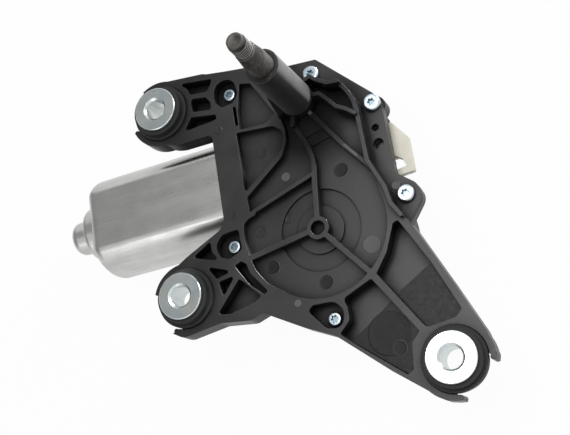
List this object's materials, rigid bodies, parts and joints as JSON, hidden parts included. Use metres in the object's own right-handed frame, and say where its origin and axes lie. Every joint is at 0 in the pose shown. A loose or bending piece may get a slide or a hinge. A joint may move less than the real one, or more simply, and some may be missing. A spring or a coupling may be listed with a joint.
{
  "type": "rear wiper motor",
  "caption": "Geared rear wiper motor with a moulded black housing, flat-sided steel motor can, knurled output shaft and rubber-mounted fixing arms.",
  "frame": {"origin": "output shaft axis at the plane of the three bush flanges", "axes": "+Z out along the output shaft, +X along the armature away from the motor can, +Y up in the picture"},
  "size_m": [0.1889, 0.1687, 0.106],
  "materials": {
    "housing_nylon": "fine moulded texture, semi matt",
    "case_nylon": "fine moulded texture, semi matt",
    "gasket": "matt",
    "zinc_screws": "bright blue zinc plate",
    "zinc_bushes": "bright zinc plate",
    "grommet_rubber": "matt",
    "can_steel": "satin, drawn lengthwise",
    "gear_nylon": "natural, moulded",
    "link_steel": "stamped",
    "dark_shaft": "phosphated, dark",
    "bright_steel": "ground",
    "core_steel": "stacked sheet",
    "copper": "copper",
    "brass": "stamped",
    "bronze": "sintered",
    "magnet": "ferrite, matt",
    "card_plastic": "moulded",
    "carbon": "pressed",
    "natural_nylon": "natural, slightly translucent"
  },
  "bodies": {
    "housing": {"front_housing": "housing_nylon", "shaft_tube": "housing_nylon", "rear_case": "case_nylon", "case_gasket": "gasket", "outer_case_screws": "zinc_screws", "pocket_case_screws": "zinc_screws", "grommet_upper_left": "grommet_rubber", "grommet_lower_left": "grommet_rubber", "grommet_lower_right": "grommet_rubber", "bush_upper_left": "zinc_bushes", "bush_lower_left": "zinc_bushes", "bush_lower_right": "zinc_bushes", "motor_can": "can_steel", "field_magnets": "magnet", "magnet_clips": "bright_steel", "brush_card": "card_plastic", "brush_holders": "brass", "carbon_brushes": "carbon", "brush_springs": "bright_steel", "choke_coils": "copper", "can_bearing": "bronze", "bearing_retainer": "bright_steel", "case_bearing": "bronze", "thrust_button": "gear_nylon", "wheel_axle": "bright_steel", "axle_clip": "bright_steel", "contact_carrier": "card_plastic", "park_contacts": "bronze", "motor_leads": "copper", "upper_shaft_bush": "bronze", "lower_shaft_bush": "bronze", "shaft_seal": "grommet_rubber", "connector_shell": "natural_nylon", "connector_terminals": "brass"},
    "armature": {"armature_shaft": "bright_steel", "worm": "bright_steel", "rotor_core": "core_steel", "rotor_windings": "copper", "commutator": "copper"},
    "wheel": {"worm_wheel": "gear_nylon", "crank_pin": "bright_steel", "park_track": "brass"},
    "output": {"output_shaft": "dark_shaft", "output_pinion": "link_steel", "thrust_collar": "bright_steel", "shaft_clip": "bright_steel"},
    "rocker": {"rocker_plate": "link_steel", "rocker_pin": "bright_steel", "pin_clip": "bright_steel"},
    "link": {"sector_link": "link_steel"}
  },
  "joints": [
    {"name": "armature_spin", "type": "hinge", "parent": "housing", "child": "armature", "pos_m": [0, -0.024, -0.03], "axis": [1, 0, 0], "continuous": true},
    {"name": "wheel_spin", "type": "hinge", "parent": "housing", "child": "wheel", "pos_m": [-0.001, -0.058, -0.03], "axis": [0, 0, 1], "continuous": true},
    {"name": "output_turn", "type": "hinge", "parent": "housing", "child": "output", "pos_m": [0, 0, 0], "axis": [0, 0, 1], "range_deg": [0, 123.14]},
    {"name": "rocker_swing", "type": "hinge", "parent": "housing", "child": "rocker", "pos_m": [0, 0, 0], "axis": [0, 0, 1], "range_deg": [0, 48.02]},
    {"name": "link_swing", "type": "hinge", "parent": "rocker", "child": "link", "pos_m": [-0.01908, 0.006, 0], "axis": [0, 0, 1], "range_deg": [-45.07, 0]}
  ],
  "couplings": [
    {"joint": "wheel_spin", "follows": "armature_spin", "ratio": 0.017857},
    {"joint": "rocker_swing", "follows": "output_turn", "ratio": 0.39},
    {"joint": "link_swing", "follows": "output_turn", "ratio": -0.366}
  ]
}
